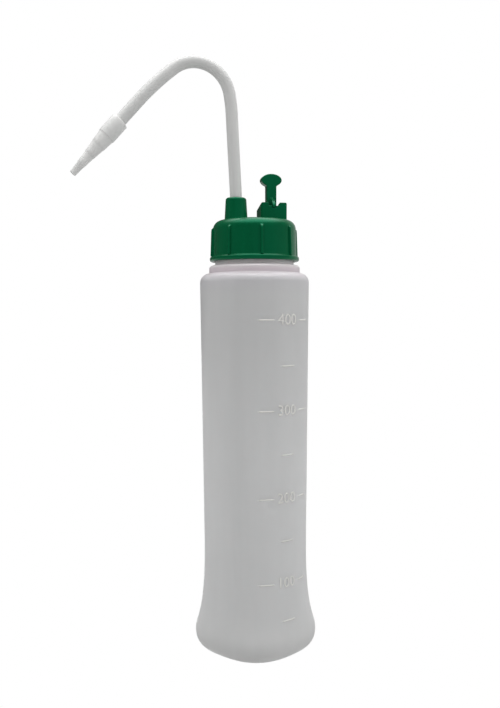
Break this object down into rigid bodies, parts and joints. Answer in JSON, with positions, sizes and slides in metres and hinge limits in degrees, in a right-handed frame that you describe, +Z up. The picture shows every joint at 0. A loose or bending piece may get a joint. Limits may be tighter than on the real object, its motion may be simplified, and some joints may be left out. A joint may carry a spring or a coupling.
{
  "type": "wash bottle",
  "caption": "Tall squeeze wash bottle with a flared foot, ribbed screw cap, bent delivery tube with a tapered jet, and a fold-over vent lever.",
  "frame": {"origin": "on the surface the bottle stands on, under the middle of the whole object's box; the bottle's own axis is at x = 28.9 mm", "axes": "+Z up along the bottle, -X the way the delivery tube's nozzle points, +X the side of the vent lever"},
  "size_m": [0.1228, 0.065, 0.3024],
  "materials": {
    "bottle_plastic": "milky translucent low-density polyethylene, satin",
    "cap_plastic": "glossy green moulded polypropylene",
    "seal_foam": "soft white polyethylene",
    "vent_rubber": "black elastomer",
    "lever_plastic": "glossy green moulded polypropylene",
    "tube_plastic": "milky translucent polyethylene tube, satin",
    "nozzle_plastic": "milky translucent moulded polyethylene",
    "dip_plastic": "milky translucent polyethylene tube, satin"
  },
  "bodies": {
    "bottle": {"bottle": "bottle_plastic"},
    "seal": {"seal_ring": "seal_foam"},
    "cap": {"screw_cap": "cap_plastic", "dip_tube": "dip_plastic", "vent_seal": "vent_rubber"},
    "tube": {"delivery_tube": "tube_plastic"},
    "nozzle": {"nozzle_tip": "nozzle_plastic"},
    "lever": {"vent_lever": "lever_plastic"}
  },
  "joints": [
    {"name": "cap_lift", "type": "slide", "parent": "bottle", "child": "seal", "axis": [0, 0, 1], "range_m": [0, 0.006]},
    {"name": "cap_unscrew", "type": "hinge", "parent": "seal", "child": "cap", "pos_m": [0.0289, 0, 0.215], "axis": [0, 0, 1], "range_deg": [0, 540]},
    {"name": "tube_swivel", "type": "hinge", "parent": "cap", "child": "tube", "pos_m": [0.01955, 0, 0.236], "axis": [0, 0, 1], "range_deg": [-180, 180]},
    {"name": "nozzle_pull", "type": "slide", "parent": "tube", "child": "nozzle", "axis": [-0.6833, 0, -0.7302], "range_m": [0, 0.008]},
    {"name": "lever_fold", "type": "hinge", "parent": "cap", "child": "lever", "pos_m": [0.0379, 0.002, 0.2303], "axis": [-1, 0, 0], "range_deg": [0, 90]}
  ],
  "couplings": [
    {"joint": "cap_lift", "follows": "cap_unscrew", "m_per_rad": 0.0006366}
  ]
}
